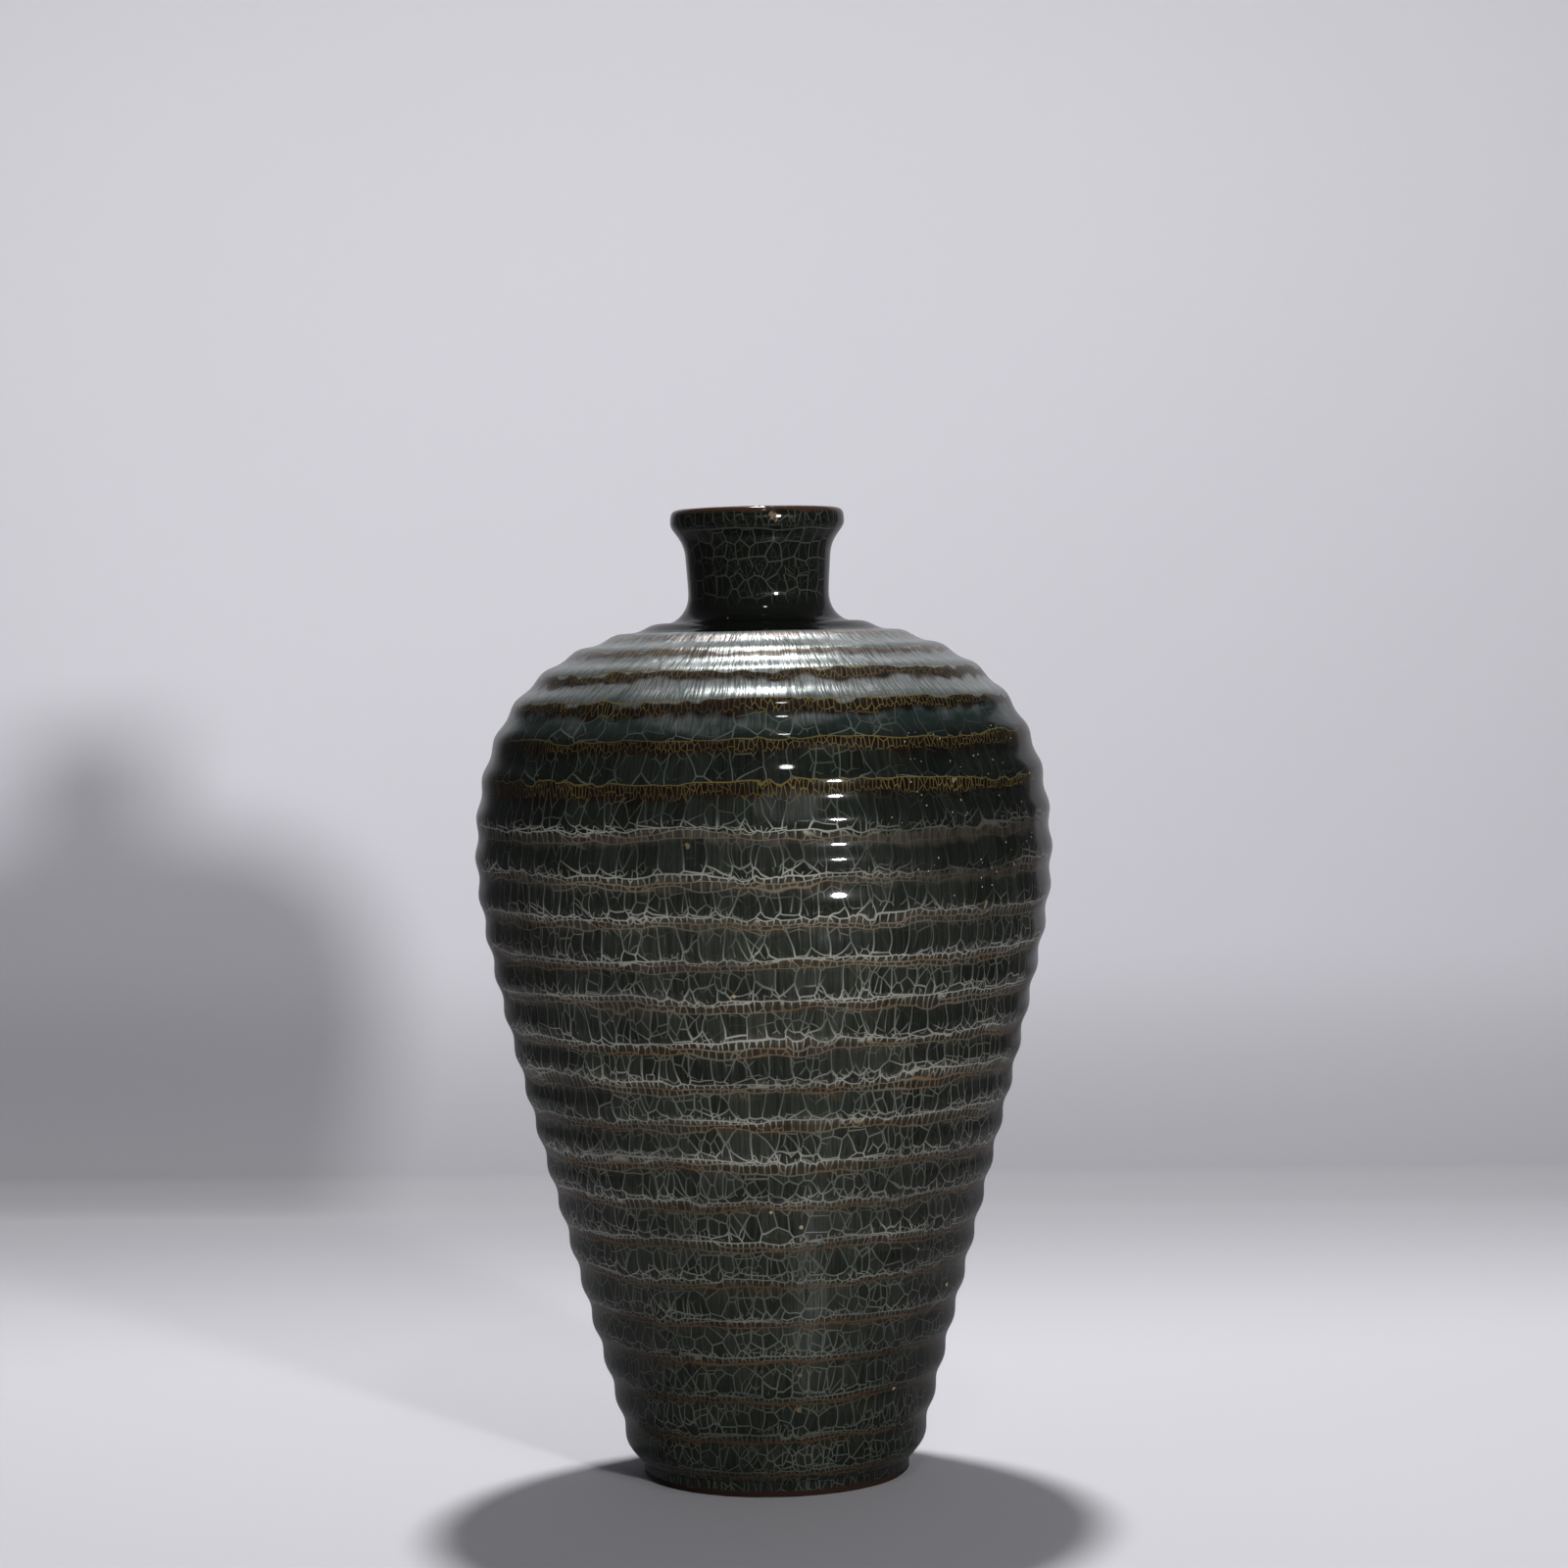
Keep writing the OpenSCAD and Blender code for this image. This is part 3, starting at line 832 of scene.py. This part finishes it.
gold_flank_shade = fade(tree, from_shaded_flank, *SHADED_FLANK_GOLD_WIDE, SHADED_FLANK_GOLD, 1.0)
dim = chosen(tree, maths(tree, "MAXIMUM", gold_band, near_gold), times(tree, quiet, flank_shade), gold_flank_shade)
crack = times(tree, crack, faint, dim)
veiled = fade(tree, level, *VEIL_END)
crack = times(tree, crack, chosen(tree, is_gold, fade(tree, level, *CRESTS_BRIGHTEN), veiled))

# Between the cracks: brown below each crest, green-black below that, a pale haze low down that is partly the
# glaze's own and partly a painted reflection of the floor, and a film on the shoulder, both streaked down the wall
ragged = swing(tree, part, noise(tree, place, across=5.0, along=0.4), BROWN_SWING)
to_band_foot = maths(tree, "DIVIDE", ragged, band_tall)
band = times(tree, fade(tree, ragged, *BROWN_START), fade(tree, to_band_foot, *BROWN_END))
threads = noise(tree, place_round, across=0.0065, along=1.2, detail=2.0)
brown = mixed(tree, fade(tree, row, *BROWN_DEEPENS), BROWN, DEEP_BROWN)
body = mixed(tree, band, GREEN, mixed(tree, is_gold, brown, DARK_BROWN))
# The pale haze low down is partly milky glaze and partly a painted reflection of the floor
low_down = times(tree, fade(tree, ridge_up, *HAZE_TOP), fade(tree, ridge_up, *HAZE_FOOT))
haze_and_reflection = times(tree, low_down, fade(tree, slow, *HAZE_PATCHES))
body = mixed(tree, haze_and_reflection, body, HAZE_AND_REFLECTION)
# Painted reflection: a pale band beside the crests of the lower body stands for the lit floor mirrored there
crest_reflection = times(tree, fade(tree, crest_gap, *CREST_REFLECTION_WIDE), fade(tree, slow, *CREST_REFLECTION_PATCHES))
crest_reflection = times(tree, crest_reflection, fade(tree, level, *CREST_REFLECTION_START), fade(tree, level, *CREST_REFLECTION_END))
body = mixed(tree, crest_reflection, body, CREST_REFLECTION)
# Painted glare: soft milky patches where the front lamp's reflection falls
for glare_turn, glare_ridge, glare_wide, glare_tall, glare_dense in PAINTED_GLARES:
    aside = maths(tree, "DIVIDE", times(tree, maths(tree, "SUBTRACT", turn, glare_turn), girth), glare_wide)
    above = maths(tree, "DIVIDE", maths(tree, "SUBTRACT", ridge_up, glare_ridge), glare_tall)
    from_glare = maths(tree, "ADD", times(tree, aside, aside), times(tree, above, above))
    glared = fade(tree, from_glare, *GLARE_EDGE, 0.0, glare_dense)
    glared = times(tree, glared, fade(tree, bend, *GLARE_PATCHES))
    body = mixed(tree, glared, body, PAINTED_GLARE)
shade = fade(tree, threads, *THREAD_SHADES)
shade = times(tree, shade, fade(tree, crackle["Chance"], *CELL_SHADES))
# Painted shade darkens the glaze between the cracks on the right flank
shade = times(tree, shade, fade(tree, from_shaded_flank, *SHADED_FLANK_WIDE, SHADED_FLANK_BODY, 1.0))
shade = add_node(tree, "ShaderNodeCombineColor", {0: shade, 1: shade, 2: shade}).outputs[0]
shaded = {0: 1.0, 6: body, 7: shade}
body = add_node(tree, "ShaderNodeMix", shaded, data_type="RGBA", blend_type="MULTIPLY").outputs[2]

# On the shoulder the glaze is teal under the film, and the film lets the bands show, all but the highest
high_up = fade(tree, level, *HIGH_UP)
cloud = noise(tree, place_round, across=0.22, along=0.9, detail=3.0)
streaks = noise(tree, place_round, across=0.0075, along=0.5, detail=2.0)
film = times(tree, fade(tree, swing(tree, level, cloud, FILM_SWING), *FILM_END), fade(tree, level, *FILM_THINS))
film = times(tree, film, fade(tree, streaks, *FILM_STREAKS))
bands_show = fade(tree, level, *BANDS_CLEAR)
film = times(tree, film, maths(tree, "SUBTRACT", 1.0, times(tree, band, bands_show)))
neck_share = swing(tree, ridge_up, threads, NECK_SWING)
neck_share = fade(tree, neck_share, NECK_RIDGE - NECK_EDGE, NECK_RIDGE + NECK_EDGE)
film = times(tree, film, maths(tree, "SUBTRACT", 1.0, neck_share))
body = mixed(tree, times(tree, fade(tree, level, *TEAL_END), maths(tree, "SUBTRACT", 1.0, band)), body, TEAL)
thinned = times(tree, film, fade(tree, part, *FILM_PARTS))
body = mixed(tree, thinned, body, mixed(tree, band, FILM, FILMED_BAND))

# The cracks' colour goes from pale on the crest, over tan or gold in the band, to green in the long cells
pale_color = mixed(tree, fade(tree, row, *CRESTS_DIM), PALE_CRACK, LOW_CRACK)
foot_color = mixed(tree, gold_below, pale_color, GREEN_CRACK)
cell_color = mixed(tree, fade(tree, row, *CELLS_BRIGHTEN), GREEN_CRACK, CELL_CRACK)
cell_color = mixed(tree, fade(tree, row, *CELLS_DIM), cell_color, LOW_CRACK)
long_color = mixed(tree, fade(tree, part, *CREST_COLOR_START), cell_color, foot_color)
amber = fade(tree, noise(tree, place, across=16.0, along=0.8), *AMBER_PATCHES)
amber = times(tree, amber, fade(tree, row, *AMBER_START))
band_color = mixed(tree, amber, TAN_CRACK, AMBER_CRACK)
band_color = mixed(tree, fade(tree, row, *RUST_START), band_color, RUST_CRACK)
band_color = mixed(tree, is_gold, band_color, GOLD_CRACK)
crest_color = mixed(tree, is_gold, pale_color, GOLD_CRACK)
crack_color = mixed(tree, fade(tree, part, *BAND_COLOR_END), long_color, band_color)
crack_color = mixed(tree, fade(tree, part, *CREST_COLOR_END), crack_color, crest_color)
gold_line = times(tree, crest_crack, gold_below, maths(tree, "GREATER_THAN", part, 0.5))
crack_color = mixed(tree, gold_line, crack_color, GOLD_CRACK)
color = mixed(tree, crack, body, crack_color)

# The neck and the lip have their own cracks, and the glaze runs thin and rusty over the lip's edge
lip_gap = maths(tree, "ABSOLUTE", maths(tree, "SUBTRACT", height, lip_line))
neck_fine = times(tree, line(tree, fine["Gap"], CRACK * NECK_FINE_CRACK), NECK_FINE)
neck_crack = most(tree, upright, neck_fine, line(tree, lip_gap))
neck_crack = times(tree, neck_crack, fade(tree, ridge_up, *NECK_CRACKS_START))
neck_color = mixed(tree, neck_crack, NECK_GREEN, NECK_CRACK)
thin = fade(tree, swing(tree, height, quick, LIP_THIN_SWING), *LIP_THINS)
neck_color = mixed(tree, thin, neck_color, RUST_EDGE)
color = mixed(tree, neck_share, color, neck_color)

# Here and there a pale speck, more of them in the quiet patch, and clusters of small white flecks there
speck_place = add_node(tree, "ShaderNodeTexCoord").outputs["Object"]
values = {"Vector": speck_place, "Scale": MM / SPECK_CELL}
speck = add_node(tree, "ShaderNodeTexVoronoi", values, feature="F1").outputs
chances = add_node(tree, "ShaderNodeSeparateColor", {0: speck["Color"]}).outputs
rare = maths(tree, "GREATER_THAN", chances[0], chosen(tree, quiet, SPECK_RARE_QUIET, SPECK_RARE))
speck_size = maths(tree, "MULTIPLY_ADD", chances[1], SPECK_MORE, SPECK_LEAST)
is_speck = times(tree, rare, maths(tree, "LESS_THAN", speck["Distance"], speck_size))
color = mixed(tree, is_speck, color, SPECK)
values = {"Vector": speck_place, "Scale": MM / FLECK_CELL}
fleck = add_node(tree, "ShaderNodeTexVoronoi", values, feature="F1").outputs
flecked = fade(tree, noise(tree, place, across=8.0, along=0.7), *FLECK_PATCHES)
flecked = times(tree, flecked, fade(tree, quiet, *FLECK_QUIET))
is_fleck = times(tree, maths(tree, "LESS_THAN", fleck["Distance"], FLECK_SIZE), flecked)
chances = add_node(tree, "ShaderNodeSeparateColor", {0: fleck["Color"]}).outputs
is_fleck = times(tree, is_fleck, maths(tree, "GREATER_THAN", chances[0], FLECK_RARE))
color = mixed(tree, is_fleck, color, FLECK)

# A few small chips show the tan clay, each at its turn and ridge, with its half width and half height
torn = noise(tree, place, across=1.6, along=0.14, detail=2.0)
for chip_turn, chip_ridge, chip_wide, chip_tall in CHIPS:
    aside = maths(tree, "DIVIDE", times(tree, maths(tree, "SUBTRACT", turn, chip_turn), girth), chip_wide)
    above = maths(tree, "DIVIDE", maths(tree, "SUBTRACT", ridge_up, chip_ridge), chip_tall)
    from_chip = maths(tree, "ADD", times(tree, aside, aside), times(tree, above, above))
    chipped = fade(tree, swing(tree, from_chip, torn, CHIP_SWING), *CHIP_EDGE)
    color = mixed(tree, chipped, color, CHIP)

# The glaze stops a little above the table, over bare brown clay
bare = fade(tree, swing(tree, ridge_up, quick, BARE_SWING), *BARE_END)
color = mixed(tree, bare, color, BARE_CLAY)

shader = tree.nodes["Principled BSDF"]
shader.inputs["IOR"].default_value = 1.5
shader.inputs["Specular IOR Level"].default_value = 0.02
shader.inputs["Coat Roughness"].default_value = 0.05
shader.inputs["Coat IOR"].default_value = 1.5
tree.links.new(color, shader.inputs["Base Color"])
tree.links.new(times(tree, film, FILM_METAL), shader.inputs["Metallic"])
roughness = chosen(tree, on_neck, fade(tree, film, *ROUGHNESS), NECK_ROUGHNESS)
tree.links.new(roughness, shader.inputs["Roughness"])
gloss = times(tree, maths(tree, "SUBTRACT", 1.0, bare), fade(tree, film, *GLOSS))
tree.links.new(gloss, shader.inputs["Coat Weight"])
relief = maths(tree, "MULTIPLY_ADD", high_up, FILM_RELIEF, RELIEF)
relief = times(tree, chosen(tree, high_up, threads, streaks), relief)
bump = add_node(tree, "ShaderNodeBump", {"Height": relief, "Distance": 0.001, "Strength": 1.0})
tree.links.new(bump.outputs[0], shader.inputs["Normal"])
wall.data.materials.append(glaze)

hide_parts("vase")
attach(wall, "root")
